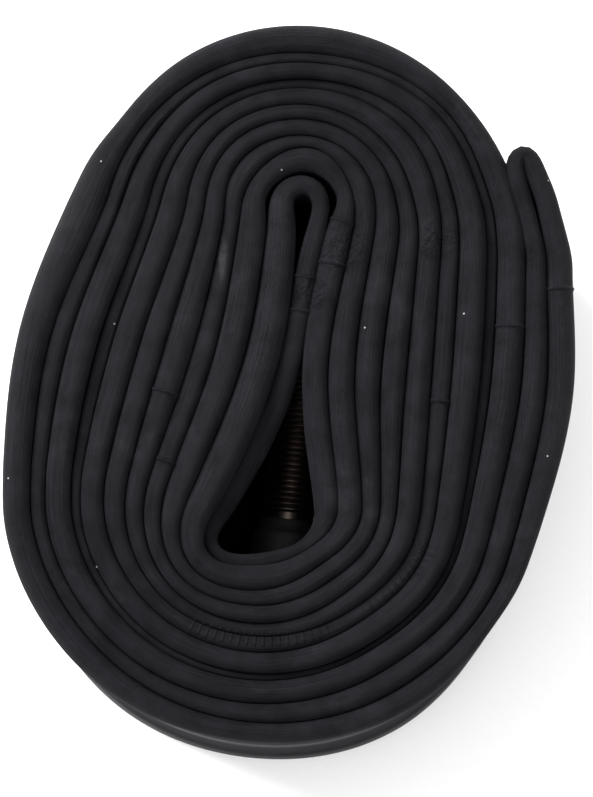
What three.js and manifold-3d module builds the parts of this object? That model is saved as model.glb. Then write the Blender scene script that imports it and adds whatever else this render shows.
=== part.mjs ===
// A bicycle inner tube, flattened, doubled and rolled up, lying on the roll's side.
// Millimetres, +Z up: the flat tube stands on edge, so the roll's axis is Z and its long way is Y.
import * as THREE from "three";
import { mergeVertices } from "three/addons/utils/BufferGeometryUtils.js";
import Module from "manifold-3d";

const wasm = await Module();
wasm.setup();

// Driving dimensions of the flat tube and of the roll.
const FLAT_WIDTH = 46; // width of the flattened tube, which is the height of the roll
const TUBE_THICKNESS = 2.3; // the two walls of the flattened tube where the roll is loose
const INNER_THICKNESS = 2; // the same on the innermost layer
const LAYER_GAP = 0.3; // space between one layer and the next
const FOLD_TOP = new THREE.Vector2(1.8, 22.3); // upper end of the line that the layers wind round
const FOLD_BOTTOM = new THREE.Vector2(-2.9, -15.3); // lower end of that line
const LAYERS = 11;
const EDGE_ROUNDING = 1.4; // how far the flat tube's folded edges are rounded off
const EDGE_FLAT = 0.35; // share of the thickness that stays flat at the edge

// The stack of layers round the roll, clockwise from the upper right. A turn of 4 is once round:
// half circles from 0 to 1 over the top and from 2 to 3 under the bottom, straight sides between.
// Each place has the distance from the line to the stack's inner and outer face, and the number of
// inner layers that are missing there.
const STACKS = [
  { turn: 1, inner: 3.0, outer: 36.4, missing: 0 },
  { turn: 1.5, inner: 2.3, outer: 38.6, missing: 0 },
  { turn: 2, inner: 5.8, outer: 36.6, missing: 0 },
  { turn: 2.25, inner: 9.0, outer: 34.6, missing: 0 },
  { turn: 2.5, inner: 6.8, outer: 33.0, missing: 0 },
  { turn: 2.75, inner: 10.6, outer: 33.4, missing: 1 },
  { turn: 3, inner: 5.9, outer: 35.9, missing: 1 },
  { turn: 3.5, inner: 1.1, outer: 36.2, missing: 1 },
  { turn: 4, inner: 0.9, outer: 32.1, missing: 1 },
  { turn: 4.25, inner: 7.3, outer: 28.7, missing: 2 },
  { turn: 4.5, inner: 8.3, outer: 27.7, missing: 2 },
  { turn: 4.75, inner: 6.8, outer: 27.9, missing: 2 },
];
const LAYERS_CROSSED = 2; // over the top, a layer comes two nearer the middle
const TURN_STEP = 1 / 8; // of a half circle, between two sections of the tube
const SIDE_STEP = 1 / 3; // of a straight side

// Where the tube leaves the winding: the drop-shaped space for the valve and its narrow fold at the
// top, and the outermost fold at the upper right, which joins the two outer layers.
const INNER_ROUTE = [
  [-7.4, -23.1],
  [-9.6, -22.6],
  [-10.6, -21.2],
  [-10.2, -19.6],
  [-8.7, -17.2],
  [-6.8, -14.0],
  [-4.3, -9.4],
  [-2.2, -4.6],
  [-0.6, 0.4],
  [0.2, 5.0],
  [0.7, 9.6],
  [1.4, 14.4],
  [2.6, 19.2],
  [4.0, 23.8],
  [3.9, 26.0],
  [3.0, 27.4],
  [1.6, 27.8],
  [0.4, 27.1],
  [-0.2, 25.4],
];
const OUTER_FOLD = [
  [32.4, 24.2],
  [31.8, 28.4],
  [32.0, 30.2],
  [33.2, 30.9],
  [34.4, 30.0],
  [35.0, 28.0],
  [35.6, 23.8],
];

// The valve: a 35 mm stem with the 8V1 thread, 7.75 mm by 32 threads to the inch.
const VALVE_FOOT = new THREE.Vector3(-1.1, -21.9, FLAT_WIDTH / 2);
const VALVE_LEAN = THREE.MathUtils.degToRad(-7);
const STEM_LENGTH = 35;
const STEM_RADIUS = 3.87;
const STEM_FOOT_RADIUS = 4.1;
const STEM_FOOT_TOP = 2.1;
const STEM_BOTTOM = 1.2;
const PATCH_HALF_WIDTH = 3.9; // across the layer it is bonded to
const PATCH_HALF_HEIGHT = 12; // along the flat tube's width
const PATCH_THICKNESS = 0.7;
const PATCH_OFFSET = -1; // the patch sits a little to the left of the stem
const PATCH_HEIGHT = 0.65; // of its middle, above the foot
const BOOT_RADIUS = 4.7;
const BOOT_BOTTOM = 0.8;
const BOOT_TOP = 4.9;
const FIT = 0.1; // between the stem and the rubber or metal that holds it
const NECK_RADIUS = 3.7;
const THREAD_START = 6.9;
const THREAD_PITCH = 25.4 / 32;
const THREAD_DEPTH = 0.43;
const BORE_RADIUS = 1.5;
const CHAMBER_RADIUS = 2.7; // the part of the bore that holds the core
const CHAMBER_FLOOR = 15;

// The core, measured down from the stem's mouth.
const CORE_GAP = 0.12; // clearance between the core's own pieces
const PLUG_TOP = STEM_LENGTH - 1.2;
const PLUG_LENGTH = 5;
const PLUG_BORE = 1; // radius
const BARREL_RADIUS = 1.95;
const BARREL_BORE = 1.25;
const BARREL_LENGTH = 9.4;
const BARREL_TOP = PLUG_TOP - PLUG_LENGTH - CORE_GAP;
const BARREL_BOTTOM = BARREL_TOP - BARREL_LENGTH;
const BARREL_FLOOR = 0.7; // thickness of the barrel's lower end
const PIN_RADIUS = 0.5;
const SPRING_WIRE = 0.16;
const SPRING_TURNS = 8;

// The cap.
const CAP_RADIUS = 4.85;
const CAP_BORE = STEM_RADIUS + 0.28;
const CAP_LENGTH = 10;
const CAP_TOP = STEM_LENGTH + 1.9;
const CAP_ROOF = 1.1;
const CAP_RIBS = 16;
const SEAL_THICKNESS = 0.5;
const ROUND = 24; // sides of a round piece

// How far the layers are spread half way up, where the stem and the cap lie between them.
const BULGE = 6.3;
const BULGE_HALF_HEIGHT = 20;
const BULGE_REACH = 38; // the outermost layer is this far from the valve and stays in place
const BULGE_FROM = [-24, -14]; // it starts above the foot
const BULGE_TO = [20, 27]; // and ends past the cap's way out

const group = new THREE.Group();
const valve = new THREE.Group();
valve.position.copy(VALVE_FOOT);
valve.rotation.z = VALVE_LEAN;
group.add(valve);

function material(color, roughness, metalness) {
  return new THREE.MeshStandardMaterial({ color, roughness, metalness });
}

const butyl = material(0x25262a, 0.6, 0);
const bootRubber = material(0x1a1a1b, 0.75, 0);
const platedBrass = material(0x8d7f78, 0.35, 1);
const coreBrass = material(0xb59a58, 0.35, 1);
const springSteel = material(0xb8bcc0, 0.3, 1);
const sealRubber = material(0x7a2a20, 0.7, 0);
const capPlastic = material(0x151516, 0.45, 0);

function addMesh(parent, name, geometry, surface) {
  const mesh = new THREE.Mesh(geometry, surface);
  mesh.name = name;
  parent.add(mesh);
}

function toSolid(geometry) {
  const bare = geometry.clone();
  bare.deleteAttribute("normal");
  bare.deleteAttribute("uv");
  const merged = mergeVertices(bare, 1e-4);
  return new wasm.Manifold(
    new wasm.Mesh({
      numProp: 3,
      vertProperties: merged.attributes.position.array,
      triVerts: new Uint32Array(merged.index.array),
    }),
  );
}

function toGeometry(solid) {
  const mesh = solid.getMesh();
  const geometry = new THREE.BufferGeometry();
  geometry.setAttribute("position", new THREE.BufferAttribute(mesh.vertProperties, 3));
  geometry.setIndex(new THREE.BufferAttribute(mesh.triVerts, 1));
  return geometry;
}

// ---- The rolled tube ----

const along = FOLD_TOP.clone().sub(FOLD_BOTTOM).normalize();
const across = new THREE.Vector2(along.y, -along.x);

// The point of the roll's plan at a turn and a distance from the line.
function planPoint(turn, distance) {
  const round = turn % 4;
  const part = round % 1;
  if (round >= 1 && round < 2) {
    return FOLD_TOP.clone().lerp(FOLD_BOTTOM, part).addScaledVector(across, distance);
  }
  if (round >= 3) {
    return FOLD_BOTTOM.clone().lerp(FOLD_TOP, part).addScaledVector(across, -distance);
  }
  const end = round < 1 ? FOLD_TOP : FOLD_BOTTOM;
  const reach = round < 1 ? distance : -distance;
  return end
    .clone()
    .addScaledVector(across, -reach * Math.cos(Math.PI * part))
    .addScaledVector(along, reach * Math.sin(Math.PI * part));
}

// A smooth value between uneven knots, for the distance and for the thickness of a run of layers.
function between(knots, key, turn) {
  const last = knots.length - 1;
  const i = Math.min(knots.findLastIndex((knot) => knot.turn <= turn), last - 1);
  const [before, from, to, after] = [i - 1, i, i + 1, i + 2].map(
    (index) => knots[THREE.MathUtils.clamp(index, 0, last)],
  );
  const span = to.turn - from.turn;
  const s = (turn - from.turn) / span;
  const startSlope = ((to[key] - before[key]) / (to.turn - before.turn)) * span;
  const endSlope = ((after[key] - from[key]) / (after.turn - from.turn)) * span;
  return (
    from[key] * (2 * s ** 3 - 3 * s ** 2 + 1) +
    startSlope * (s ** 3 - 2 * s ** 2 + s) +
    to[key] * (3 * s ** 2 - 2 * s ** 3) +
    endSlope * (s ** 3 - s ** 2)
  );
}

// The middle line of the tube from the upper right of layer `outermost`, winding inwards two layers
// at a time, to the turn `lastTurn` of layer `innermost`. Its third coordinate is the thickness.
function windInwards(outermost, innermost, lastTurn) {
  const knots = [];
  for (let layer = outermost; layer >= innermost; layer -= LAYERS_CROSSED) {
    const lap = 2 * (outermost - layer);
    for (const { turn, inner, outer, missing } of STACKS) {
      const pitch = (outer - inner) / (LAYERS - missing);
      const distance = inner + pitch * (layer - missing + 0.5);
      const thickness = Math.min(TUBE_THICKNESS, pitch - LAYER_GAP);
      knots.push({ turn: turn + lap, distance, thickness });
    }
  }
  const end = lastTurn + 2 * (outermost - innermost);
  const route = [];
  for (let turn = 1; turn <= end + 1e-6; turn += Math.floor(turn + 1e-6) % 2 ? SIDE_STEP : TURN_STEP) {
    const { x, y } = planPoint(turn, between(knots, "distance", turn));
    route.push(new THREE.Vector3(x, y, between(knots, "thickness", turn)));
  }
  return route;
}

// The whole middle line of the endless tube.
function tubeRoute() {
  const placed = (points, thickness) => points.map(([x, y]) => new THREE.Vector3(x, y, thickness));
  return [
    ...windInwards(10, 0, 2.5),
    ...placed(INNER_ROUTE, INNER_THICKNESS),
    ...windInwards(9, 1, 4).reverse(),
    ...placed(OUTER_FOLD, TUBE_THICKNESS),
  ];
}

// Half of the flat tube's section, as [share of the half thickness, height]: rounded folds at both
// edges, with a narrow flat on each.
const HALF_SECTION = [
  [EDGE_FLAT, 0],
  [1, EDGE_ROUNDING],
  [1, 0.28 * FLAT_WIDTH],
  [1, 0.5 * FLAT_WIDTH],
  [1, 0.72 * FLAT_WIDTH],
  [1, FLAT_WIDTH - EDGE_ROUNDING],
  [EDGE_FLAT, FLAT_WIDTH],
];

// How far a point is moved sideways to make room for the valve.
function spread(x, y, z) {
  const aside = x - (VALVE_FOOT.x - Math.tan(VALVE_LEAN) * (y - VALVE_FOOT.y));
  const height = Math.min(Math.abs(z - FLAT_WIDTH / 2) / BULGE_HALF_HEIGHT, 1);
  const amount =
    BULGE *
    Math.cos((Math.PI / 2) * height) ** 2 *
    THREE.MathUtils.smoothstep(y, ...BULGE_FROM) *
    (1 - THREE.MathUtils.smoothstep(y, ...BULGE_TO)) *
    Math.max(1 - Math.abs(aside) / BULGE_REACH, 0);
  return Math.sign(aside) * amount;
}

// The tube is a ring of sections, closed both ways like a torus, so it is made from one.
function tubeBody() {
  const route = tubeRoute();
  const section = [
    ...HALF_SECTION,
    ...HALF_SECTION.map(([share, height]) => [-share, height]).reverse(),
  ];
  const torus = new THREE.TorusGeometry(2, 1, section.length, route.length);
  const { position } = torus.attributes;
  const columns = route.length + 1;
  for (let vertex = 0; vertex < position.count; vertex++) {
    const at = (vertex % columns) % route.length;
    const [share, height] = section[Math.floor(vertex / columns) % section.length];
    const here = route[at];
    const next = route[(at + 1) % route.length];
    const previous = route[(at + route.length - 1) % route.length];
    const forward = new THREE.Vector2(next.x - previous.x, next.y - previous.y).normalize();
    const aside = (share * here.z) / 2;
    const x = here.x + forward.y * aside;
    const y = here.y - forward.x * aside;
    position.setXYZ(vertex, x + spread(x, y, height), y, height);
  }
  return toGeometry(toSolid(torus));
}

addMesh(group, "tube_body", tubeBody(), butyl);

// ---- The valve, built upright on the Y axis from its foot ----

function lathe(profile, sides = ROUND) {
  return new THREE.LatheGeometry(
    profile.map(([radius, height]) => new THREE.Vector2(radius, height)),
    sides,
  );
}

// A ring with square edges.
function ring(outer, inner, bottom, top) {
  return lathe([
    [inner, bottom],
    [outer, bottom],
    [outer, top],
    [inner, top],
    [inner, bottom],
  ]);
}

// The rubber patch is flat on the tube, and the boot leans with the stem, round its foot.
function valveBase() {
  const patch = new THREE.CylinderGeometry(1, 1.06, 1, 32);
  patch.scale(PATCH_HALF_WIDTH, PATCH_THICKNESS, PATCH_HALF_HEIGHT);
  patch.translate(PATCH_OFFSET, PATCH_HEIGHT, 0);
  patch.rotateZ(-VALVE_LEAN);
  const boot = lathe([
    [0, BOOT_BOTTOM],
    [BOOT_RADIUS, BOOT_BOTTOM],
    [BOOT_RADIUS, 3],
    [BOOT_RADIUS - 0.2, BOOT_TOP - 0.3],
    [BOOT_RADIUS - 0.5, BOOT_TOP],
    [0, BOOT_TOP],
  ]);
  const pocket = lathe([
    [0, STEM_BOTTOM - FIT],
    [STEM_FOOT_RADIUS + FIT, STEM_BOTTOM - FIT],
    [STEM_FOOT_RADIUS + FIT, STEM_FOOT_TOP + FIT],
    [NECK_RADIUS + FIT, STEM_FOOT_TOP + FIT],
    [NECK_RADIUS + FIT, BOOT_TOP + 1.1],
    [0, BOOT_TOP + 1.1],
  ]);
  const airway = new THREE.CylinderGeometry(BORE_RADIUS, BORE_RADIUS, 6, ROUND);
  return toGeometry(
    toSolid(patch).add(toSolid(boot)).subtract(toSolid(pocket)).subtract(toSolid(airway)),
  );
}

// Outside: foot, smooth neck, thread to the mouth. Inside: the narrow airway and the core's chamber.
function valveStem() {
  const profile = [
    [BORE_RADIUS, STEM_BOTTOM],
    [STEM_FOOT_RADIUS, STEM_BOTTOM],
    [STEM_FOOT_RADIUS, STEM_FOOT_TOP],
    [NECK_RADIUS, STEM_FOOT_TOP],
    [NECK_RADIUS, THREAD_START - THREAD_PITCH / 2],
  ];
  const turns = Math.floor((STEM_LENGTH - THREAD_START) / THREAD_PITCH);
  for (let turn = 0; turn < turns; turn++) {
    const height = THREAD_START + turn * THREAD_PITCH;
    profile.push([STEM_RADIUS - THREAD_DEPTH, height]);
    profile.push([STEM_RADIUS, height + THREAD_PITCH / 2]);
  }
  profile.push([STEM_RADIUS - THREAD_DEPTH, STEM_LENGTH]);
  profile.push([CHAMBER_RADIUS + FIT, STEM_LENGTH]);
  profile.push([CHAMBER_RADIUS, STEM_LENGTH - 0.5]);
  profile.push([CHAMBER_RADIUS, BARREL_TOP - 1]);
  profile.push([BARREL_RADIUS + 0.5, BARREL_TOP - 2.2]);
  profile.push([BARREL_RADIUS + 0.35, CHAMBER_FLOOR + 1]);
  profile.push([BORE_RADIUS, CHAMBER_FLOOR]);
  profile.push([BORE_RADIUS, STEM_BOTTOM]);
  return lathe(profile);
}

addMesh(valve, "valve_base", valveBase(), bootRubber);
addMesh(valve, "valve_stem", valveStem(), platedBrass);

// ---- The valve core ----

// The head screws into the stem, and has a bridge across its top for the core key.
function corePlug() {
  const body = ring(CHAMBER_RADIUS - FIT, PLUG_BORE, PLUG_TOP - PLUG_LENGTH, PLUG_TOP);
  const flank = new THREE.BoxGeometry(2, 2.4, 8);
  let plug = toSolid(body);
  for (const side of [-1, 1]) {
    plug = plug.subtract(toSolid(flank.clone().translate(side * 2.25, PLUG_TOP, 0)));
  }
  return toGeometry(plug);
}

function coreBarrel() {
  return lathe([
    [PIN_RADIUS + CORE_GAP, BARREL_BOTTOM],
    [BARREL_RADIUS - 0.4, BARREL_BOTTOM],
    [BARREL_RADIUS, BARREL_BOTTOM + 0.5],
    [BARREL_RADIUS, BARREL_TOP],
    [BARREL_BORE, BARREL_TOP],
    [BARREL_BORE, BARREL_BOTTOM + BARREL_FLOOR],
    [PIN_RADIUS + CORE_GAP, BARREL_BOTTOM + BARREL_FLOOR],
    [PIN_RADIUS + CORE_GAP, BARREL_BOTTOM],
  ]);
}

// The tapered ring that seals the barrel against the chamber's shoulder.
function coreBarrelSeal() {
  const top = BARREL_TOP - 0.4;
  return lathe([
    [BARREL_RADIUS + 0.1, top - 2.6],
    [BARREL_RADIUS + 0.3, top - 2.6],
    [BARREL_RADIUS + 0.62, top - 0.5],
    [BARREL_RADIUS + 0.62, top],
    [BARREL_RADIUS + 0.1, top],
    [BARREL_RADIUS + 0.1, top - 2.6],
  ]);
}

const COLLAR_BOTTOM = BARREL_TOP - 0.7;
const COLLAR_HEIGHT = 0.4;
const CUP_RADIUS = 1.75;
const CUP_WALL = 0.25;
const CUP_FLOOR = 0.5;
const CUP_TOP = BARREL_BOTTOM - CORE_GAP;
const CUP_BOTTOM = CUP_TOP - 1.4;
const CUP_RIM = CUP_TOP - 0.35; // the washer stands above it

// A pin from below the cup to the stem's mouth, with a small head to press.
function corePin() {
  const head = STEM_LENGTH - 0.2;
  return lathe([
    [0, CUP_BOTTOM - 0.6],
    [PIN_RADIUS, CUP_BOTTOM - 0.6],
    [PIN_RADIUS, head - 0.7],
    [PIN_RADIUS + 0.25, head - 0.5],
    [PIN_RADIUS + 0.25, head],
    [0, head],
  ]);
}

// The cup opens upwards and holds the washer that closes on the barrel's end.
function coreCup() {
  return lathe([
    [PIN_RADIUS + CORE_GAP, CUP_BOTTOM],
    [1.1, CUP_BOTTOM],
    [CUP_RADIUS, CUP_BOTTOM + CUP_FLOOR],
    [CUP_RADIUS, CUP_RIM],
    [CUP_RADIUS - CUP_WALL, CUP_RIM],
    [CUP_RADIUS - CUP_WALL, CUP_BOTTOM + CUP_FLOOR],
    [PIN_RADIUS + CORE_GAP, CUP_BOTTOM + CUP_FLOOR],
    [PIN_RADIUS + CORE_GAP, CUP_BOTTOM],
  ]);
}

class SpringCurve extends THREE.Curve {
  getPoint(t, target = new THREE.Vector3()) {
    const bottom = BARREL_BOTTOM + BARREL_FLOOR + SPRING_WIRE + CORE_GAP;
    const top = COLLAR_BOTTOM - SPRING_WIRE - CORE_GAP;
    const angle = 2 * Math.PI * SPRING_TURNS * t;
    const radius = BARREL_BORE - SPRING_WIRE - CORE_GAP;
    return target.set(
      radius * Math.cos(angle),
      THREE.MathUtils.lerp(bottom, top, t),
      radius * Math.sin(angle),
    );
  }
}

function coreSpring() {
  const wire = new THREE.Shape().absarc(0, 0, SPRING_WIRE, 0, 2 * Math.PI);
  return new THREE.ExtrudeGeometry(wire, {
    curveSegments: 3,
    steps: 12 * SPRING_TURNS,
    extrudePath: new SpringCurve(),
  });
}

addMesh(valve, "core_plug", corePlug(), coreBrass);
addMesh(valve, "core_barrel", coreBarrel(), coreBrass);
addMesh(valve, "core_barrel_seal", coreBarrelSeal(), sealRubber);
addMesh(valve, "core_pin", corePin(), coreBrass);
addMesh(
  valve,
  "core_spring_collar",
  ring(BARREL_BORE - CORE_GAP, PIN_RADIUS + CORE_GAP, COLLAR_BOTTOM, COLLAR_BOTTOM + COLLAR_HEIGHT),
  coreBrass,
);
addMesh(valve, "core_cup", coreCup(), coreBrass);
addMesh(
  valve,
  "core_cup_seal",
  ring(CUP_RADIUS - CUP_WALL - CORE_GAP, PIN_RADIUS + CORE_GAP, CUP_BOTTOM + CUP_FLOOR + CORE_GAP, CUP_TOP),
  sealRubber,
);
addMesh(valve, "core_spring", coreSpring(), springSteel);

// ---- The cap ----

// A blind cap with fine grip ribs; its thread is left smooth, a running fit over the stem's.
function dustCap() {
  const bottom = CAP_TOP - CAP_LENGTH;
  let cap = toSolid(
    lathe([
      [CAP_BORE, bottom],
      [CAP_RADIUS - 0.2, bottom],
      [CAP_RADIUS, bottom + 0.3],
      [CAP_RADIUS, CAP_TOP - 0.8],
      [CAP_RADIUS - 0.8, CAP_TOP],
      [0, CAP_TOP],
      [0, CAP_TOP - CAP_ROOF],
      [CAP_BORE, CAP_TOP - CAP_ROOF],
      [CAP_BORE, bottom],
    ]),
  );
  for (let rib = 0; rib < CAP_RIBS; rib++) {
    const groove = new THREE.CylinderGeometry(0.35, 0.35, CAP_LENGTH - 3, 6);
    groove.translate(CAP_RADIUS + 0.05, CAP_TOP - CAP_LENGTH / 2 - 0.2, 0);
    groove.rotateY((2 * Math.PI * rib) / CAP_RIBS);
    cap = cap.subtract(toSolid(groove));
  }
  return toGeometry(cap);
}

function capSeal() {
  const top = CAP_TOP - CAP_ROOF - 0.1;
  return lathe([
    [0, top - SEAL_THICKNESS],
    [CAP_BORE - 0.15, top - SEAL_THICKNESS],
    [CAP_BORE - 0.15, top],
    [0, top],
  ]);
}

addMesh(valve, "dust_cap", dustCap(), capPlastic);
addMesh(valve, "cap_seal", capSeal(), sealRubber);

// The part's origin is under the middle of the roll.
group.updateMatrixWorld(true);
const extent = new THREE.Box3().setFromObject(group, true);
const middle = extent.getCenter(new THREE.Vector3());
group.position.set(-middle.x, -middle.y, -extent.min.z);

export default group;
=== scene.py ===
import math

import bmesh
import bpy
import numpy as np
from mathutils import Matrix, Vector


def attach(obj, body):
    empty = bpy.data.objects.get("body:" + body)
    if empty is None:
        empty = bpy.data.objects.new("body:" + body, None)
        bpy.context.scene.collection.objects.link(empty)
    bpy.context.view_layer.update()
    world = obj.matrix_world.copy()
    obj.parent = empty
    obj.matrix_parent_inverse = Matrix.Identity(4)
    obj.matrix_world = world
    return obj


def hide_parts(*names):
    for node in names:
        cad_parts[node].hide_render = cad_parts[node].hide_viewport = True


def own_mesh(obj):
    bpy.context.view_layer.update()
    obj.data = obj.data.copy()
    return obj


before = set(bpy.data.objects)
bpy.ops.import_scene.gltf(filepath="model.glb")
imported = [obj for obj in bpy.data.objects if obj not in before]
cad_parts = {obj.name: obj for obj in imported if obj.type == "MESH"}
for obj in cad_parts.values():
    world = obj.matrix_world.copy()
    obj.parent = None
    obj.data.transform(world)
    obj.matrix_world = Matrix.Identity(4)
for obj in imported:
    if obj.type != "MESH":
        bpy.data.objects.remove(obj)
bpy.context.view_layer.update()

# ---- The tube ----
# One endless moulded ring of butyl rubber. With the air out its two walls lie on each other, and
# the folds along both edges keep a rounded bead. The flat ring is doubled and wound eleven layers
# deep, so the beads of the layers are what shows on the roll's upper and lower side.
MM = 0.001
FLAT_WIDTH = 46 * MM
FOLD_TOP = np.array([1.76, 21.43]) * MM  # the layers wind round the line between these two points
FOLD_BOTTOM = np.array([-2.94, -16.17]) * MM
BEAD_GAP = 0.02 * MM
SINKING = 0.8  # how far a bead narrower than the others lies below them, as a share of the difference
WALLS = 1.75 * MM  # the two walls lying on each other

# The width of each layer's bead in millimetres, innermost first, at places round the roll. A turn of
# 4 is once round: half circles from 0 to 1 over the top and from 2 to 3 under the bottom.
BEADS = [
    # turn, distance of the first bead from the line, inner layers missing, bead widths
    (1.0, 3.0, 0, (3.8, 3.0, 3.4, 2.7, 3.1, 2.4, 3.8, 1.5, 3.9, 2.7, 3.6)),
    (1.5, 2.3, 0, (3.5, 3.6, 3.7, 3.3, 3.5, 2.6, 3.9, 1.5, 4.1, 3.4, 3.7)),
    (2.0, 5.9, 0, (3.6, 3.2, 2.4, 2.3, 3.0, 2.1, 3.4, 0.9, 3.4, 3.4, 2.9)),
    (2.12, 7.0, 0, (2.2, 2.9, 2.4, 2.4, 2.7, 2.1, 3.3, 0.9, 3.3, 3.0, 2.3)),
    (2.25, 6.7, 0, (1.7, 2.7, 2.5, 2.5, 2.3, 2.0, 3.2, 0.8, 3.2, 3.1, 3.1)),
    (2.5, 6.7, 0, (2.0, 3.5, 2.0, 2.3, 1.8, 2.1, 2.8, 0.9, 3.1, 2.4, 2.7)),
    (2.75, 10.6, 1, (2.9, 2.0, 1.8, 1.9, 2.0, 2.9, 0.9, 3.2, 1.9, 3.6)),
    (3.0, 5.9, 1, (4.5, 3.4, 2.5, 2.8, 2.9, 3.2, 1.4, 3.4, 2.1, 3.8)),
    (3.5, 0.9, 1, (4.8, 4.0, 3.0, 3.8, 3.3, 3.7, 2.0, 3.8, 2.6, 4.5)),
    (4.0, 0.9, 1, (4.0, 3.7, 2.3, 2.7, 2.6, 3.5, 1.8, 3.6, 1.9, 5.1)),
    (4.12, 6.1, 2, (3.1, 2.6, 2.5, 2.4, 2.9, 1.6, 3.1, 1.8, 3.3)),
    (4.25, 6.9, 2, (3.0, 2.8, 2.4, 2.2, 2.4, 1.5, 2.6, 1.6, 3.5)),
    (4.5, 7.7, 2, (3.4, 1.6, 2.2, 2.0, 2.4, 1.4, 2.2, 1.4, 4.2)),
    (4.75, 6.2, 2, (2.2, 3.0, 2.5, 2.2, 3.3, 1.9, 2.9, 1.3, 2.8)),
    (4.88, 4.3, 2, (3.0, 3.0, 2.9, 2.4, 3.2, 2.1, 3.3, 1.4, 3.7)),
]

# Where the tube leaves the winding: x, y, bead width and how far the bead lies below the others.
# First the innermost run, round the space for the valve and up to its narrow fold.
INNER_ROUTE = [
    (4.85, -14.8, 3.7, 0.1),
    (5.0, -16.8, 3.6, 0.2),
    (4.95, -18.2, 3.3, 0.3),
    (4.3, -19.9, 2.8, 0.5),
    (3.1, -21.3, 2.2, 0.7),
    (1.6, -22.5, 1.9, 0.9),
    (-0.2, -23.3, 1.9, 1.0),
    (-2.1, -23.8, 2.1, 1.0),
    (-4.0, -24.2, 2.2, 1.0),
    (-5.8, -24.3, 2.2, 1.0),
    (-7.5, -24.2, 2.1, 1.1),
    (-9.2, -23.6, 1.9, 1.2),
    (-10.4, -22.5, 1.8, 1.5),
    (-10.9, -20.9, 2.2, 1.9),
    (-10.5, -18.9, 3.0, 2.4),
    (-9.4, -16.6, 3.9, 2.8),
    (-8.2, -14.2, 4.4, 3.0),
    (-6.8, -11.6, 4.6, 3.0),
    (-5.3, -8.9, 4.7, 2.9),
    (-3.9, -6.2, 4.5, 2.7),
    (-2.6, -3.8, 4.1, 2.4),
    (-1.4, -1.3, 3.6, 2.1),
    (-0.3, 2.0, 3.2, 1.8),
    (0.9, 7.1, 3.2, 1.6),
    (1.7, 11.2, 3.2, 1.3),
    (2.3, 15.2, 3.1, 1.0),
    (3.0, 18.6, 2.9, 0.8),
    (3.8, 21.8, 2.5, 0.5),
    (4.3, 24.2, 2.4, 0.4),
    (3.9, 26.1, 2.5, 0.3),
    (2.7, 27.2, 2.6, 0.3),
    (1.1, 27.3, 2.7, 0.2),
    (-0.5, 26.5, 3.0, 0.2),
    (-1.2, 24.7, 3.3, 0.1),
]
# Then the outermost fold, which stands up at the upper right.
OUTER_FOLD = [
    (33.0, 19.7, 2.6, 0.3),
    (32.4, 22.5, 2.5, 0.3),
    (31.5, 25.6, 2.8, 0.2),
    (30.8, 28.2, 2.8, 0.2),
    (30.6, 30.3, 2.5, 0.1),
    (31.2, 31.6, 2.2, 0.1),
    (32.1, 31.9, 2.1, 0),
    (32.9, 30.9, 2.5, 0),
    (33.6, 28.6, 3.0, 0),
    (34.7, 25.9, 3.0, 0),
    (35.5, 22.5, 3.2, 0),
]

line = FOLD_TOP - FOLD_BOTTOM
along = line / np.linalg.norm(line)
across = np.array([along[1], -along[0]])


def plan_point(turn, distance):
    quarter, part = int(turn % 4), turn % 1
    if quarter == 1:
        return FOLD_TOP - line * part + across * distance
    if quarter == 3:
        return FOLD_BOTTOM + line * part - across * distance
    swing = along * math.sin(math.pi * part) - across * math.cos(math.pi * part)
    return FOLD_TOP + swing * distance if quarter == 0 else FOLD_BOTTOM - swing * distance


def smooth_between(turns, values, turn):
    """A cubic through uneven knots."""
    values = np.asarray(values)
    last = len(turns) - 1
    i = min(max(np.searchsorted(turns, turn, side="right") - 1, 0), last - 1)
    before, after = max(i - 1, 0), min(i + 2, last)
    span = turns[i + 1] - turns[i]
    s = (turn - turns[i]) / span
    start = (values[i + 1] - values[before]) / (turns[i + 1] - turns[before]) * span
    end = (values[after] - values[i]) / (turns[after] - turns[i]) * span
    return (
        values[i] * (2 * s**3 - 3 * s**2 + 1)
        + start * (s**3 - 2 * s**2 + s)
        + values[i + 1] * (3 * s**2 - 2 * s**3)
        + end * (s**3 - s**2)
    )


def wind_inwards(outermost, innermost, last_turn):
    """Points (x, y, bead width, drop) of the layers from the outermost in, two nearer each lap."""
    turns, values = [], []
    for layer in range(outermost, innermost - 1, -2):
        for turn, first, missing, widths in BEADS:
            mean = sum(widths) / len(widths)
            place = layer - missing
            edge = first + sum(widths[: max(place, 0)]) + mean * min(place, 0)
            width = widths[place] if place >= 0 else mean
            turns.append(turn + 2 * (outermost - layer))
            values.append((edge + width / 2, width, SINKING * max(mean - width, 0)))
    end = last_turn + 2 * (outermost - innermost)
    route = []
    for turn in np.arange(1, end + 1e-6, 1 / 16):
        distance, width, drop = smooth_between(turns, values, turn) * MM
        route.append((*plan_point(turn, distance), width, drop))
    return route


route = np.array(
    wind_inwards(10, 0, 1.75)
    + [tuple(v * MM for v in point) for point in INNER_ROUTE]
    + wind_inwards(9, 1, 4)[::-1]
    + [tuple(v * MM for v in point) for point in OUTER_FOLD]
)


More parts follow.
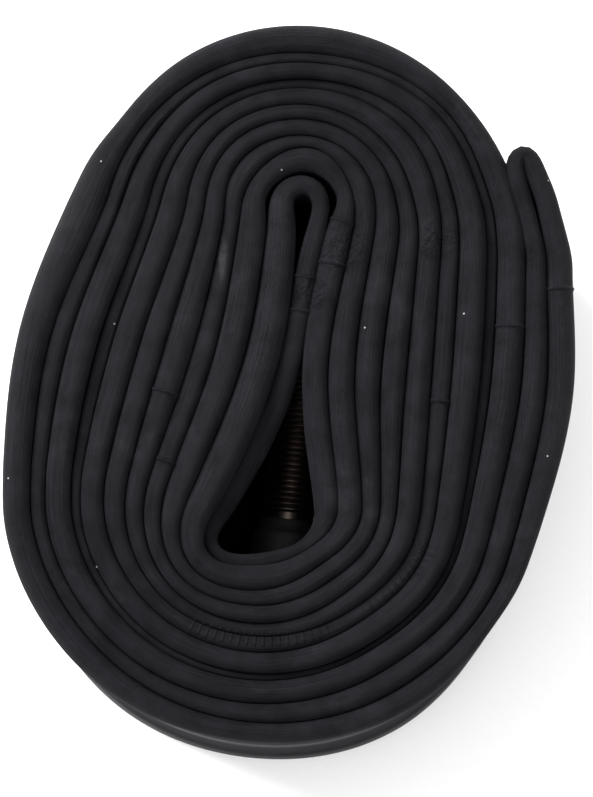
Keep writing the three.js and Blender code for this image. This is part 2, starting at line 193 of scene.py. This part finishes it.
def closed_curve(points, step):
    """The points joined by a closed Catmull-Rom curve, then cut into steps of one length."""
    shares = np.linspace(0, 1, 24, endpoint=False)[:, None]
    spans = []
    for i in range(len(points)):
        a, b, c, d = (points[(i + k) % len(points)] for k in (-1, 0, 1, 2))
        spans.append(
            b
            + 0.5 * (c - a) * shares
            + (a - 2.5 * b + 2 * c - 0.5 * d) * shares**2
            + (1.5 * b - 1.5 * c + 0.5 * (d - a)) * shares**3
        )
    fine = np.vstack(spans)
    fine = np.vstack([fine, fine[:1]])
    reach = np.concatenate([[0], np.cumsum(np.hypot(*np.diff(fine[:, :2], axis=0).T))])
    count = int(reach[-1] / step)
    places = np.linspace(0, reach[-1], count, endpoint=False)
    return np.column_stack([np.interp(places, reach, column) for column in fine.T])


def soften(values, steps):
    """A closed row of values with everything shorter than about so many steps rounded off."""
    waves = np.fft.rfftfreq(len(values))
    return np.fft.irfft(np.fft.rfft(values) * np.exp(-2 * (np.pi * waves * steps) ** 2), len(values))


STEP = 0.75 * MM
FINE_STEP = STEP / 4
ROUTE_SOFTENING = 5  # fine steps
curve = closed_curve(route, FINE_STEP)
curve = np.column_stack([soften(column, ROUTE_SOFTENING) for column in curve.T])

# A thin raised line crosses the tube wherever two parts of the mould met. Each of these is nearest
# to one place of the plan, and the skin gets extra rows there.
MOULD_LINES = [
    (36.8, 12.8),
    (30.4, 7.6),
    (20.2, -2.6),
    (-17.4, -1.3),
    (-16.7, -10.8),
    (1.4, 9.9),
    (1.8, 14.5),
    (6.7, 22.2),
    (5.8, 16.3),
]
LINE_HEIGHT = 0.3 * MM
LINE_WIDTH = 0.8 * MM
LINE_ROWS = 6
length = len(curve) * FINE_STEP
lines = [
    np.hypot(*(curve[:, :2] - np.array(place) * MM).T).argmin() * FINE_STEP for place in MOULD_LINES
]
rows = list(np.arange(0, length - STEP / 2, STEP))
for line_at in lines:
    rows = [row for row in rows if abs(row - line_at) > LINE_WIDTH]
    rows += [line_at + LINE_WIDTH * k / LINE_ROWS for k in range(-LINE_ROWS, LINE_ROWS + 1)]
rows = np.sort(rows)
fine = np.arange(len(curve)) * FINE_STEP
curve = np.column_stack([np.interp(rows, fine, column) for column in curve.T])

# Soft rubber never lies quite even: the beads rise and fall a little and lean to one side. Both
# change slowly, over so many rows.
RISE, RISE_ROWS = 1.2 * MM, 14
LEAN, LEAN_ROWS = 0.55, 22
waver = np.random.default_rng(8)
rise = soften(waver.normal(size=len(rows)), RISE_ROWS) * RISE
lean = soften(waver.normal(size=len(rows)), LEAN_ROWS) * LEAN

# The flat tube's section: a bead with a rounded crown along each fold, and between the two beads the
# walls come together.
ARC_STEPS = 6
WALL_HEIGHTS = (0.16, 0.3, 0.5, 0.7, 0.84)
SECTION = 2 * (2 * ARC_STEPS + len(WALL_HEIGHTS))
CROWN_HEIGHT = 0.78  # of the bead, as a share of half its width
CROWN_POWER = 1.12  # 1 is an ellipse, and more is a narrower crown


def bead_point(share, radius):
    """How far aside and how far below the crown a point of the bead lies, from 0 to 1 round it."""
    angle = math.pi / 2 * share
    aside = radius * math.sin(angle) ** CROWN_POWER
    return aside, CROWN_HEIGHT * radius * (1 - math.cos(angle) ** CROWN_POWER)


def section_point(index, width, drop, tilt):
    """How far aside and how high a point of the section lies; index runs once round it."""
    half = SECTION // 2
    side = 1 if index < half else -1
    k = index if index < half else SECTION - 1 - index
    radius = width / 2
    if k < ARC_STEPS:
        aside, up = bead_point((k + 0.5) / ARC_STEPS, radius)
        return side * aside, up
    if k >= half - ARC_STEPS:
        aside, down = bead_point((half - k - 0.5) / ARC_STEPS, radius)
        return side * aside, FLAT_WIDTH - drop - down + tilt * side * aside
    share = WALL_HEIGHTS[k - ARC_STEPS]
    return side * min(WALLS / 2, radius), FLAT_WIDTH * share


# Half way up, the layers make room for the stem and its cap, each run on its own side of them.
VALVE_FOOT = Vector((-1.140, -22.771, 23)) * MM
STEM_AXIS = Vector((0.1218693, 0.9925462, 0))
BULGE = 6.3 * MM
BULGE_HALF_HEIGHT = 20 * MM
BULGE_REACH = 38 * MM
BULGE_STARTS = (-24.9 * MM, -14.9 * MM)
BULGE_ENDS = (19.1 * MM, 26.1 * MM)


def smooth_step(value, low, high):
    share = min(max((value - low) / (high - low), 0), 1)
    return share * share * (3 - 2 * share)


def beside_stem(x, y):
    """How far right of the stem's axis a point lies."""
    return x - VALVE_FOOT.x - STEM_AXIS.x / STEM_AXIS.y * (y - VALVE_FOOT.y)


def spread(x, y, z, side):
    """How far a point is moved sideways, away from the stem. side is 1 for a run right of it."""
    aside = beside_stem(x, y)
    height = min(abs(z - FLAT_WIDTH / 2) / BULGE_HALF_HEIGHT, 1)
    amount = BULGE * math.cos(math.pi / 2 * height) ** 2 * max(1 - abs(aside) / BULGE_REACH, 0)
    amount *= smooth_step(y, *BULGE_STARTS) * (1 - smooth_step(y, *BULGE_ENDS))
    return side * amount


# The innermost run's left wall leans in towards the boot at its lower edge.
TOE_IN = 3.4 * MM
TOE_PLACE = (-8.8 * MM, -17.5 * MM)
TOE_REACH = 10 * MM
TOE_STRETCH = 0.7  # it reaches further along the stem than across it
TOE_HEIGHT = 17 * MM


def toe_in(x, y, z):
    """How far a point is moved to the right."""
    away = math.hypot(x - TOE_PLACE[0], (y - TOE_PLACE[1]) * TOE_STRETCH)
    return TOE_IN * (1 - smooth_step(z, 0, TOE_HEIGHT)) * (1 - smooth_step(away, 0, TOE_REACH))


# The skin is a grid, one row of it for each step along the tube, laid round the section and joined
# along its edges. Its UV map keeps the way along the tube and the way round it.
bm = bmesh.new()
bm.loops.layers.uv.new("along_and_round")
bmesh.ops.create_grid(bm, x_segments=len(curve), y_segments=SECTION, size=0.5, calc_uvs=True)
ahead = np.roll(curve[:, :2], -1, axis=0) - np.roll(curve[:, :2], 1, axis=0)
ahead /= np.linalg.norm(ahead, axis=1)[:, None]
ridge = np.zeros(len(rows))
for line_at in lines:
    near = np.clip(np.abs(rows - line_at) / (LINE_WIDTH / 2), 0, 1)
    ridge += LINE_HEIGHT * np.cos(math.pi / 2 * near) ** 2
along_tube = np.append(rows, length) / length
uv_layer = bm.loops.layers.uv.active
for face in bm.faces:
    for loop in face.loops:
        place = round((loop.vert.co.x + 0.5) * len(curve))
        loop[uv_layer].uv = (along_tube[place], loop.vert.co.y + 0.5)
for vert in bm.verts:
    at = round((vert.co.x + 0.5) * len(curve)) % len(curve)
    index = round((vert.co.y + 0.5) * SECTION) % SECTION
    cx, cy, width, drop = curve[at]
    grown = width - BEAD_GAP + ridge[at]
    sunk = max(drop - rise[at], 0) - ridge[at]
    aside, height = section_point(index, grown, sunk, lean[at])
    x, y = cx + ahead[at][1] * aside, cy - ahead[at][0] * aside
    side = math.copysign(1, beside_stem(cx, cy))
    vert.co = (x + spread(x, y, height, side) + toe_in(x, y, height), y, height)
bmesh.ops.remove_doubles(bm, verts=bm.verts, dist=1e-7)
bmesh.ops.recalc_face_normals(bm, faces=bm.faces)


def add_piece(name, bm, body, slot, *nodes, smooth=True):
    """Makes a shown piece of a finished mesh, which rides on a body and stands for CAD nodes."""
    mesh = bpy.data.meshes.new(name)
    bm.to_mesh(mesh)
    bm.free()
    for face in mesh.polygons:
        face.use_smooth = smooth
    piece = bpy.data.objects.new(name, mesh)
    bpy.context.collection.objects.link(piece)
    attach(piece, body)
    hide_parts(*nodes)
    return piece


tube = add_piece("rolled_tube", bm, "tube_and_stem", "butyl", "tube_body")


class Wire:
    """An output of a shader node. Arithmetic on it adds Math nodes."""

    def __init__(self, tree, socket=None):
        self.tree, self.socket = tree, socket

    def node(self, kind, settings, sockets, output=0):
        """Adds a node: its settings first, then the values or wires of its sockets."""
        made = self.tree.nodes.new(kind)
        for name, value in settings.items():
            if name == "stops":
                for stop, (place, colour) in zip(made.color_ramp.elements, value):
                    stop.position, stop.color = place, colour
            else:
                setattr(made, name, value)
        for name, value in sockets.items():
            if isinstance(value, Wire):
                self.tree.links.new(value.socket, made.inputs[name])
            else:
                made.inputs[name].default_value = value
        return Wire(self.tree, made.outputs[output])

    def maths(self, operation, first, second=0.0):
        return self.node("ShaderNodeMath", {"operation": operation}, {0: first, 1: second})

    def __add__(self, other):
        return self.maths("ADD", self, other)

    def __sub__(self, other):
        return self.maths("SUBTRACT", self, other)

    def __mul__(self, other):
        return self.maths("MULTIPLY", self, other)

    def __rsub__(self, other):
        return self.maths("SUBTRACT", other, self)

    __radd__ = __add__
    __rmul__ = __mul__

    def between(self, low, high):
        """0 below low, 1 above high, smooth from one to the other."""
        return self.node(
            "ShaderNodeMapRange",
            {"interpolation_type": "SMOOTHSTEP"},
            {"Value": self, "From Min": low, "From Max": high},
        )

    def noise(self, vector, scale, detail=3, roughness=0.5):
        sockets = {"Vector": vector, "Scale": scale, "Detail": detail, "Roughness": roughness}
        return self.node("ShaderNodeTexNoise", {}, sockets)

    def near(self, vector, place, low, high):
        """1 closer to a place in millimetres than low, 0 further from it than high."""
        sockets = {0: vector, 1: [v * MM for v in place]}
        far = self.node("ShaderNodeVectorMath", {"operation": "DISTANCE"}, sockets, "Value")
        return 1 - far.between(low * MM, high * MM)

    def mixed(self, first, second):
        """The first colour where this is 0, and the second where it is 1."""
        sockets = {0: self, 6: first, 7: second}
        return self.node("ShaderNodeMix", {"data_type": "RGBA"}, sockets, 2)

    def node_vector(self, size):
        """The same small shift along X, Y and Z."""
        scaled = self * size
        return self.node("ShaderNodeCombineXYZ", {}, {0: scaled, 1: scaled, 2: scaled})

    def stretched(self, vector, scale):
        return self.node("ShaderNodeMapping", {}, {"Vector": vector, "Scale": scale})


def add_finish(name):
    """A new material, its shader and a wire to start from."""
    finish = bpy.data.materials.new(name)
    finish.use_nodes = True
    return finish, finish.node_tree.nodes["Principled BSDF"], Wire(finish.node_tree)


def join(shader, colour, roughness, normal):
    """Wires what varies over the surface to the shader."""
    links = normal.tree.links
    links.new(colour.socket, shader.inputs["Base Color"])
    links.new(roughness.socket, shader.inputs["Roughness"])
    links.new(normal.socket, shader.inputs["Normal"])


# Butyl is near black and slightly blue, dull, with the fine grain of the mould, streaks along the
# tube where it was extruded, a thin bloom of talc, a scuff and a few specks of dust. The beads are
# smoother than the walls, and so is a soft band of the wall above its middle.
butyl, shader, start = add_finish("butyl")
place = start.node("ShaderNodeTexCoord", {}, {}, "Object")
route_map = start.node("ShaderNodeUVMap", {"uv_map": "along_and_round"}, {}, 0)
SPAN = length / MM  # millimetres along the tube
ROUND = 2 * FLAT_WIDTH / MM  # and round it
STREAKS_ALONG, STREAKS_ROUND = 0.03, 2.6  # in each millimetre
streak_map = start.stretched(route_map, (SPAN * STREAKS_ALONG, ROUND * STREAKS_ROUND, 1))
streaks = start.noise(streak_map, 1, 4, 0.6)
mottle = start.noise(place, 260, 6, 0.68)
grain = start.noise(place, 3800, 3, 0.65)
bloom = start.noise(place, 70, 3, 0.55).between(0.5, 0.75) * mottle.between(0.42, 0.7)
height = start.node("ShaderNodeSeparateXYZ", {}, {"Vector": place}, 2)

DUST_SCALE = 85
UPPER_SIDE = (0.0435, 0.0445)
dust_settings = {"voronoi_dimensions": "2D"}
dust_sockets = {"Vector": place, "Scale": DUST_SCALE}
dust_cells = start.node("ShaderNodeTexVoronoi", dust_settings, dust_sockets)
dust_pick = start.node("ShaderNodeTexVoronoi", dust_settings, dust_sockets, 1)
dust_share = start.node("ShaderNodeSeparateColor", {}, {"Color": dust_pick}, 0)
dust = (1 - dust_cells.between(0.006, 0.013)) * dust_share.between(0.72, 0.73)
dust = dust * height.between(*UPPER_SIDE)

SCUFF_NARROWING = 4.5  # it is a streak along Y
SCUFF_PLACE = (-41.0, 17.0, 46)  # in the narrowed coordinates
scuff_place = start.stretched(place, (SCUFF_NARROWING, 1, 1))
scuff = start.near(scuff_place, SCUFF_PLACE, 0.8, 4.2) * mottle.between(0.38, 0.6)

tone = (streaks * 0.4 + mottle * 0.35 + grain * 0.25).between(0.34, 0.66)
colour = tone.mixed((0.0018, 0.0018, 0.0026, 1), (0.0112, 0.0109, 0.0138, 1))
colour = (bloom * 0.35).mixed(colour, (0.022, 0.022, 0.025, 1))
colour = (scuff * 0.6).mixed(colour, (0.05, 0.051, 0.054, 1))
colour = dust.mixed(colour, (0.3, 0.3, 0.3, 1))

MIDDLE = FLAT_WIDTH / 2
BAND_HEIGHT = 0.029
bead = start.maths("ABSOLUTE", height - MIDDLE).between(0.0165, 0.0205)
band = 1 - start.maths("ABSOLUTE", height - BAND_HEIGHT).between(0.0005, 0.006)
roughness = 1 - bead * (0.5 - 0.2 * mottle + 0.1 * streaks) - band * (0.6 - 0.4 * mottle)

# Creases where the rubber was folded tight: each place in millimetres, how far they cover the rubber
# fully and how far they reach.
CREASES = [
    ((7.0, 18.5, 46), 1.8, 4.2),
    ((3.2, 12.5, 45), 1.4, 3.0),
    ((20, 19.6, 46), 1.5, 3.5),
]
warp = start.noise(place, 500, 2).node_vector(0.004)
warped = start.node("ShaderNodeVectorMath", {"operation": "ADD"}, {0: place, 1: warp})
crease_cells = start.node(
    "ShaderNodeTexVoronoi", {"feature": "DISTANCE_TO_EDGE"}, {"Vector": warped, "Scale": 520}
)
creases = (1 - crease_cells.between(0.0, 0.3)) * 0.35 + start.noise(place, 900, 4, 0.6) * 0.9
creased = start.near(place, *CREASES[0])
for crease in CREASES[1:]:
    creased = start.maths("MAXIMUM", creased, start.near(place, *crease))

# Two rows of short moulded ticks along one layer, which is a hoop round TICK_HUB there.
TICK_PITCH = 1.1  # millimetres
TICK_ROWS = [((-4.3, -34.9, 46), 8.5, 10), ((14.0, -26.2, 46), 5.5, 7)]
TICK_HUB = (-0.0032, -0.0093, 0.046)
TICK_HOOP = 0.0255
tube_mm = start.stretched(route_map, (SPAN, ROUND, 1))
tick_wave = start.node("ShaderNodeSeparateXYZ", {}, {"Vector": tube_mm}, 0)
ticks = start.maths("SINE", tick_wave * (2 * math.pi / TICK_PITCH)).between(0.35, 0.85)
ticked = start.near(place, *TICK_ROWS[0])
for tick_row in TICK_ROWS[1:]:
    ticked = start.maths("MAXIMUM", ticked, start.near(place, *tick_row))
from_hub = start.node("ShaderNodeVectorMath", {"operation": "DISTANCE"}, {0: place, 1: TICK_HUB}, 1)
ticked = ticked * (1 - start.maths("ABSOLUTE", from_hub - TICK_HOOP).between(0.0006, 0.0011))

relief = streaks * 0.3 + mottle * 0.2 + grain * 0.07
relief = relief + creases * creased * 0.9 + ticks * ticked * 0.5
normal = start.node(
    "ShaderNodeBump", {}, {"Strength": 0.75, "Distance": 0.001, "Height": relief}
)
join(shader, colour, roughness, normal)
shader.inputs["Specular IOR Level"].default_value = 0.12
shader.inputs["IOR"].default_value = 1.35
tube.data.materials.append(butyl)

# ---- The valve's patch and boot ----
# A round rubber patch is vulcanised to the tube over the air hole, and a thick collar moulded on it
# holds the foot of the stem.
PATCH_RADII = (4.1 * MM, 12.7 * MM)  # across the layer and along the flat tube's width
PATCH_THICKNESS = 0.7 * MM
PATCH_TAPER = 0.94
PATCH_BEVEL = 0.035
PATCH_PLACE = VALVE_FOOT + Vector((-1, 0.65, 0)) * MM
bm = bmesh.new()
bmesh.ops.create_cone(
    bm, cap_ends=True, segments=96, radius1=1, radius2=PATCH_TAPER, depth=PATCH_THICKNESS
)
rims = [edge for edge in bm.edges if len({round(vert.co.z, 6) for vert in edge.verts}) == 1]
bmesh.ops.bevel(
    bm, geom=rims, offset=PATCH_BEVEL, segments=3, profile=0.5, affect="EDGES", material=-1,
    clamp_overlap=True,
)
bmesh.ops.scale(bm, vec=(PATCH_RADII[0], PATCH_RADII[1], 1), verts=bm.verts)
bmesh.ops.rotate(bm, matrix=Matrix.Rotation(-math.pi / 2, 3, "X"), verts=bm.verts)
bmesh.ops.translate(bm, vec=PATCH_PLACE, verts=bm.verts)

STEM_FRAME = Matrix.Translation(VALVE_FOOT) @ Matrix(
    (
        (STEM_AXIS.y, 0, STEM_AXIS.x, 0),
        (-STEM_AXIS.x, 0, STEM_AXIS.y, 0),
        (0, -1, 0, 0),
        (0, 0, 0, 1),
    )
)


def turned(bm, profile, steps=96, thread=None):
    """Turns a closed profile of (radius, height) in millimetres. thread is the pitch and the lowest
    and highest radius and height of the points that climb with it."""
    verts = [bm.verts.new((radius * MM, 0, height * MM)) for radius, height in profile]
    edges = [bm.edges.new((verts[i - 1], verts[i])) for i in range(len(verts))]
    before = set(bm.verts) - set(verts)
    spun = bmesh.ops.spin(
        bm, geom=verts + edges, cent=(0, 0, 0), axis=(0, 0, 1), dvec=(0, 0, 0),
        angle=2 * math.pi, steps=steps, use_merge=False, use_duplicate=False,
    )
    last = {item for item in spun["geom_last"] if isinstance(item, bmesh.types.BMVert)}
    made = [vert for vert in bm.verts if vert not in before]
    if thread:
        pitch, (thin, thick), (low, high) = thread
        for vert in made:
            radius = math.hypot(vert.co.x, vert.co.y) / MM
            angle = math.atan2(vert.co.y, vert.co.x) % (2 * math.pi)
            if vert in last:
                angle = 2 * math.pi
            elif vert in verts:
                angle = 0
            if thin <= radius <= thick and low <= vert.co.z / MM <= high:
                vert.co.z += pitch * MM * angle / (2 * math.pi)
    bmesh.ops.remove_doubles(bm, verts=made, dist=2e-7)
    made = [vert for vert in made if vert.is_valid]
    open_edges = [edge for edge in bm.edges if edge.is_boundary]
    if open_edges:
        bmesh.ops.holes_fill(bm, edges=open_edges, sides=0)
    return made


def set_on_stem(bm, verts):
    bmesh.ops.transform(bm, matrix=STEM_FRAME, verts=verts)


boot = turned(
    bm,
    [
        (1.6, 0.8), (4.55, 0.8), (4.7, 1.0), (4.7, 2.5), (4.62, 2.7), (4.62, 3.3), (4.66, 3.5),
        (4.6, 4.1), (4.45, 4.6), (4.2, 4.85), (4.02, 4.95), (3.98, 6.3),
        (3.9, 6.5), (3.78, 6.5), (3.78, 2.2), (4.2, 2.2), (4.2, 1.1), (1.6, 1.1),
    ],
)
set_on_stem(bm, boot)
bmesh.ops.recalc_face_normals(bm, faces=bm.faces)
base = add_piece("valve_patch_and_boot", bm, "tube_and_stem", "boot_rubber", "valve_base")

boot_rubber, shader, start = add_finish("boot_rubber")
place = start.node("ShaderNodeTexCoord", {}, {}, "Object")
mottle = start.noise(place, 300, 4, 0.6)
grain = start.noise(place, 5000, 3, 0.6)
colour = mottle.mixed((0.0014, 0.0014, 0.0016, 1), (0.004, 0.004, 0.0043, 1))
talc = start.noise(place, 90, 2).between(0.52, 0.75)
colour = (talc * 0.4).mixed(colour, (0.008, 0.008, 0.0083, 1))
normal = start.node(
    "ShaderNodeBump", {}, {"Strength": 0.6, "Distance": 0.001, "Height": grain * 0.04 + mottle * 0.1}
)
join(shader, colour, 0.6 + 0.2 * mottle, normal)
base.data.materials.append(boot_rubber)

# ---- The valve stem ----
# A turned brass tube with a thin dull plating, bonded into the boot at its foot and threaded from
# there to its mouth. The bore is wide at the mouth for the core and narrow below it.
THREAD_PITCH = 25.4 / 32
STEM_RADIUS, THREAD_ROOT, NECK = 3.87, 3.44, 3.7
THREAD_START, STEM_TOP = 6.9, 35
outside = [(4.1, 1.2), (4.1, 2.1), (NECK, 2.1), (NECK, 6.3), (NECK - 0.1, 6.5)]
thread_turns = int((STEM_TOP - 0.4 - THREAD_START) / THREAD_PITCH) - 1
for crest in range(thread_turns):
    low = THREAD_START + crest * THREAD_PITCH
    outside += [
        (THREAD_ROOT, low),
        (STEM_RADIUS - 0.05, low + 0.38 * THREAD_PITCH),
        (STEM_RADIUS, low + 0.46 * THREAD_PITCH),
        (STEM_RADIUS, low + 0.56 * THREAD_PITCH),
        (STEM_RADIUS - 0.05, low + 0.64 * THREAD_PITCH),
    ]
thread_end = THREAD_START + thread_turns * THREAD_PITCH
outside += [(THREAD_ROOT, thread_end), (THREAD_ROOT, STEM_TOP - 0.1), (THREAD_ROOT - 0.1, STEM_TOP)]
inside = [
    (2.85, STEM_TOP), (2.7, 34.5), (2.7, 27.68), (2.45, 26.48), (2.3, 16), (1.5, 15), (1.5, 1.2)
]
thread_radii = (THREAD_ROOT - 0.02, STEM_RADIUS + 0.02)
thread_heights = (THREAD_START - 0.01, thread_end + 0.01)
bm = bmesh.new()
stem_verts = turned(bm, outside + inside, 96, (THREAD_PITCH, thread_radii, thread_heights))
set_on_stem(bm, stem_verts)
bmesh.ops.recalc_face_normals(bm, faces=bm.faces)
stem = add_piece("threaded_stem", bm, "tube_and_stem", "plated_brass", "valve_stem", smooth=False)


def metal(name, bright, dark, roughness, scale):
    """Turned metal: fine rings from the tool, and a stain that gathers in patches."""
    finish, shader, start = add_finish(name)
    place = start.node("ShaderNodeTexCoord", {}, {}, "Object")
    rings = start.noise(start.stretched(place, (0.15, 1, 0.15)), scale, 3, 0.6)
    stain = start.noise(place, scale * 0.12, 4, 0.6).between(0.35, 0.75)
    normal = start.node(
        "ShaderNodeBump", {}, {"Strength": 0.3, "Distance": 0.0004, "Height": rings * 0.1}
    )
    join(shader, (stain * 0.8).mixed(bright, dark), roughness + 0.15 * stain + 0.08 * rings, normal)
    shader.inputs["Metallic"].default_value = 1
    return finish


stem.data.materials.append(
    metal("plated_brass", (0.13, 0.103, 0.092, 1), (0.045, 0.036, 0.032, 1), 0.3, 4000)
)


def refinish(node, finish):
    """Gives a CAD node a finish in place of its plain one."""
    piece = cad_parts[node]
    piece.data.materials.clear()
    piece.data.materials.append(finish)


# ---- The valve core ----
# A brass head that screws into the stem, a barrel with a tapered seal, a pin with a cup and washer
# that close the barrel's lower end, and the spring that holds them shut.
core_brass = metal("core_brass", (0.62, 0.44, 0.17, 1), (0.33, 0.21, 0.08, 1), 0.24, 5000)
for node in ("core_plug", "core_barrel", "core_pin", "core_spring_collar", "core_cup"):
    refinish(node, core_brass)

seal_rubber, shader, start = add_finish("seal_rubber")
place = start.node("ShaderNodeTexCoord", {}, {}, "Object")
cloud = start.noise(place, 700, 4, 0.6)
normal = start.node(
    "ShaderNodeBump", {},
    {"Strength": 0.4, "Distance": 0.0004, "Height": start.noise(place, 6000) * 0.1},
)
colour = cloud.mixed((0.15, 0.017, 0.01, 1), (0.24, 0.034, 0.02, 1))
join(shader, colour, 0.62 + 0.2 * cloud, normal)
for node in ("core_barrel_seal", "core_cup_seal", "cap_seal"):
    refinish(node, seal_rubber)

SPRING_FOOT, SPRING_HEAD = 20.26, 27.7
SPRING_TURNS, SPRING_RADIUS, SPRING_WIRE = 8, 0.97, 0.16
STEPS_A_TURN = 28
SPRING_STEPS = STEPS_A_TURN * SPRING_TURNS
bm = bmesh.new()
bmesh.ops.create_circle(bm, segments=12, radius=SPRING_WIRE * MM)
bmesh.ops.rotate(bm, matrix=Matrix.Rotation(math.pi / 2, 3, "X"), verts=bm.verts)
bmesh.ops.translate(bm, vec=(SPRING_RADIUS * MM, 0, SPRING_FOOT * MM), verts=bm.verts)
bmesh.ops.spin(
    bm, geom=bm.verts[:] + bm.edges[:], cent=(0, 0, 0), axis=(0, 0, 1),
    dvec=(0, 0, (SPRING_HEAD - SPRING_FOOT) * MM / SPRING_STEPS),
    angle=2 * math.pi * SPRING_TURNS, steps=SPRING_STEPS, use_merge=False, use_duplicate=False,
)
bmesh.ops.holes_fill(bm, edges=[edge for edge in bm.edges if edge.is_boundary], sides=0)
set_on_stem(bm, bm.verts)
bmesh.ops.recalc_face_normals(bm, faces=bm.faces)
spring = add_piece("pin_spring", bm, "tube_and_stem", "spring_steel", "core_spring")
spring.data.materials.append(
    metal("spring_steel", (0.6, 0.62, 0.64, 1), (0.4, 0.41, 0.42, 1), 0.2, 6000)
)
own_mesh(spring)

# ---- The dust cap ----
# A moulded plastic cap with sixteen fine grip ribs, a rounded top and the stem's thread inside it.
# It screws down over the mouth, and a thin washer under its roof seals it.
CAP_RADIUS, CAP_BORE, CAP_FOOT, CAP_HEAD = 4.85, 4.15, 26.9, 36.9
CAP_THREAD = 3.95
CAP_RIBS = 16
RIB_DEPTH = 0.28
STEPS_A_RIB = 8
CAP_ROOF = 1.1
outside = [
    (CAP_BORE, CAP_FOOT), (CAP_RADIUS - 0.25, CAP_FOOT), (CAP_RADIUS - 0.05, CAP_FOOT + 0.12),
    (CAP_RADIUS, CAP_FOOT + 0.4), (CAP_RADIUS, CAP_FOOT + 1.2), (CAP_RADIUS, CAP_FOOT + 1.5),
    (CAP_RADIUS, CAP_FOOT + 4), (CAP_RADIUS, CAP_FOOT + 6.5), (CAP_RADIUS, CAP_HEAD - 1.5),
    (CAP_RADIUS, CAP_HEAD - 1.1), (CAP_RADIUS - 0.12, CAP_HEAD - 0.6),
    (CAP_RADIUS - 0.4, CAP_HEAD - 0.2), (CAP_RADIUS - 0.8, CAP_HEAD), (0.02, CAP_HEAD),
    (0.02, CAP_HEAD - CAP_ROOF), (CAP_BORE, CAP_HEAD - CAP_ROOF),
]
CAP_TURNS = 6
CAP_THREAD_FOOT = CAP_FOOT + 1
inner_thread = []
for crest in range(CAP_TURNS):
    high = CAP_THREAD_FOOT + (CAP_TURNS - crest) * THREAD_PITCH
    inner_thread += [
        (CAP_BORE, high),
        (CAP_THREAD, high - 0.42 * THREAD_PITCH),
        (CAP_THREAD, high - 0.58 * THREAD_PITCH),
    ]
inner_thread.append((CAP_BORE, CAP_THREAD_FOOT))
thread_radii = (CAP_THREAD - 0.02, CAP_BORE + 0.02)
thread_heights = (CAP_THREAD_FOOT - 0.01, CAP_THREAD_FOOT + 0.01 + CAP_TURNS * THREAD_PITCH)
bm = bmesh.new()
cap_verts = turned(
    bm, outside + inner_thread, CAP_RIBS * STEPS_A_RIB,
    (THREAD_PITCH, thread_radii, thread_heights),
)
for vert in cap_verts:
    radius = math.hypot(vert.co.x, vert.co.y)
    if radius > (CAP_RADIUS - 0.02) * MM and CAP_FOOT + 1.3 < vert.co.z / MM < CAP_HEAD - 1.3:
        turn = CAP_RIBS * math.atan2(vert.co.y, vert.co.x)
        groove = max(math.cos(turn), 0) ** 2 * RIB_DEPTH * MM
        vert.co.x *= 1 - groove / radius
        vert.co.y *= 1 - groove / radius
set_on_stem(bm, cap_verts)
bmesh.ops.recalc_face_normals(bm, faces=bm.faces)
cap = add_piece("ribbed_cap", bm, "cap", "cap_plastic", "dust_cap", smooth=False)

cap_plastic, shader, start = add_finish("cap_plastic")
place = start.node("ShaderNodeTexCoord", {}, {}, "Object")
cloud = start.noise(place, 400, 4, 0.6)
fine_grain = start.noise(place, 7000, 3, 0.6)
normal = start.node(
    "ShaderNodeBump", {}, {"Strength": 0.4, "Distance": 0.0005, "Height": fine_grain * 0.08}
)
colour = cloud.mixed((0.006, 0.006, 0.0065, 1), (0.013, 0.013, 0.014, 1))
join(shader, colour, 0.38 + 0.15 * cloud, normal)
cap.data.materials.append(cap_plastic)

# ---- The floor ----
# A plain sheet of white paper, wide enough to fill every view.
bm = bmesh.new()
bmesh.ops.create_grid(bm, x_segments=1, y_segments=1, size=3)
mesh = bpy.data.meshes.new("floor")
bm.to_mesh(mesh)
bm.free()
floor = bpy.data.objects.new("floor", mesh)
bpy.context.collection.objects.link(floor)
white_paper, shader, start = add_finish("white_paper")
place = start.node("ShaderNodeTexCoord", {}, {}, "Object")
fibre = start.noise(place, 900, 3)
normal = start.node("ShaderNodeBump", {}, {"Strength": 0.1, "Distance": 0.0002, "Height": fibre})
colour = fibre.mixed((0.9, 0.9, 0.9, 1), (0.93, 0.93, 0.93, 1))
join(shader, colour, 0.8 + 0.05 * fibre, normal)
mesh.materials.append(white_paper)

# ---- Light and camera ----
# An even white studio, one soft box low at the left and behind, and a long lens nearly overhead.
world = bpy.data.worlds.new("studio")
bpy.context.scene.world = world
world.use_nodes = True
world.node_tree.nodes["Background"].inputs["Color"].default_value = (1, 1, 1, 1)
world.node_tree.nodes["Background"].inputs["Strength"].default_value = 1.45


def add_softbox(name, place, target, size, power):
    lamp = bpy.data.lights.new(name, "AREA")
    lamp.shape = "RECTANGLE"
    lamp.size, lamp.size_y = size
    lamp.energy = power
    box = bpy.data.objects.new(name, lamp)
    box.location = place
    box.rotation_euler = (Vector(target) - Vector(place)).to_track_quat("-Z", "Y").to_euler()
    bpy.context.collection.objects.link(box)


add_softbox("key_softbox", (-0.7, 0.5, 0.5), (0, 0, 0.03), (0.5, 0.5), 22)

AIM = Vector((0.0009, -0.00244, FLAT_WIDTH))
DISTANCE = 0.417
ELEVATION = math.radians(80.7)
camera_data = bpy.data.cameras.new("camera")
camera_data.sensor_width = 36
camera_data.lens = 140.2
camera_data.clip_start = 0.01
camera = bpy.data.objects.new("camera", camera_data)
camera.location = AIM + DISTANCE * Vector((0, -math.cos(ELEVATION), math.sin(ELEVATION)))
camera.rotation_euler = (math.pi / 2 - ELEVATION, 0, 0)
bpy.context.collection.objects.link(camera)
scene = bpy.context.scene
scene.camera = camera
scene.view_settings.view_transform = "Standard"
